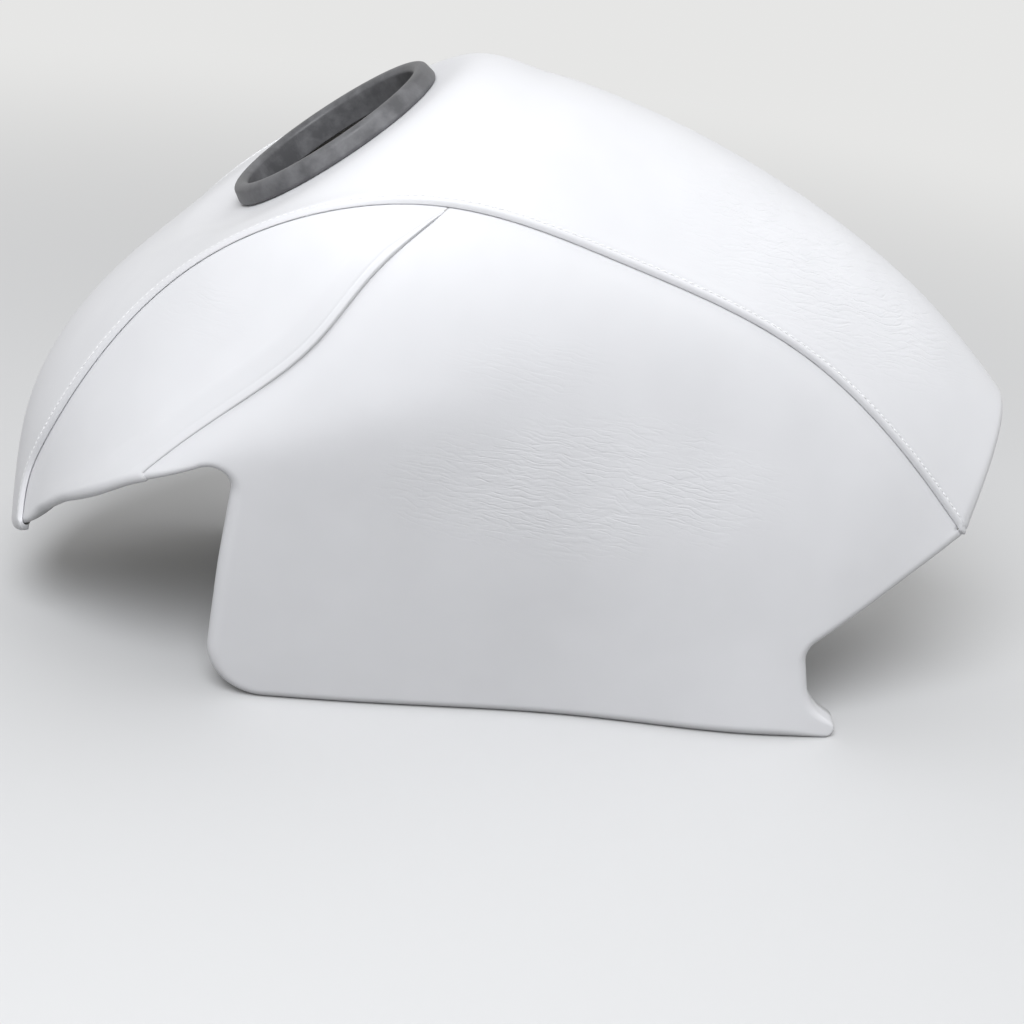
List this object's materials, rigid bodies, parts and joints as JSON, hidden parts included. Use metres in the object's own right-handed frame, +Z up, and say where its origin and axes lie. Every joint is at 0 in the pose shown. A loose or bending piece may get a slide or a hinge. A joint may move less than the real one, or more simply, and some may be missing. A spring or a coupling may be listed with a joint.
{
  "type": "fuel tank cover",
  "caption": "Fitted motorbike fuel tank cover of leather-grain vinyl panels with lapped, top-stitched seams, a round filler opening, rolled hems, under-tank straps and a rear tab.",
  "frame": {"origin": "centre of the bounding box at the level of the straight lower hem", "axes": "-X is the front of the motorbike, +X its rear, -Y its left side, +Z up"},
  "size_m": [0.5879, 0.3024, 0.3568],
  "materials": {
    "white_vinyl": "satin leather-grain embossed vinyl, white",
    "black_rubber": "moulded, matt dark grey",
    "black_webbing": "woven webbing, black",
    "black_acetal": "injection moulded, fine texture",
    "nickel_plate": "nickel plated brass"
  },
  "bodies": {
    "root": {"centre_panel": "white_vinyl", "shoulder_panel_left": "white_vinyl", "shoulder_panel_right": "white_vinyl", "side_panel_left": "white_vinyl", "side_panel_right": "white_vinyl", "filler_collar": "black_rubber", "front_strap_left": "black_webbing", "front_strap_right": "black_webbing", "rear_strap_left": "black_webbing", "rear_strap_right": "black_webbing", "front_patch_left": "white_vinyl", "front_patch_right": "white_vinyl", "rear_patch_left": "white_vinyl", "rear_patch_right": "white_vinyl", "rear_tab": "white_vinyl", "front_buckle_plug": "black_acetal", "front_buckle_socket": "black_acetal", "rear_buckle": "black_acetal", "eyelet_left": "nickel_plate", "eyelet_right": "nickel_plate", "eyelet_washer_left": "nickel_plate", "eyelet_washer_right": "nickel_plate"}
  },
  "joints": []
}
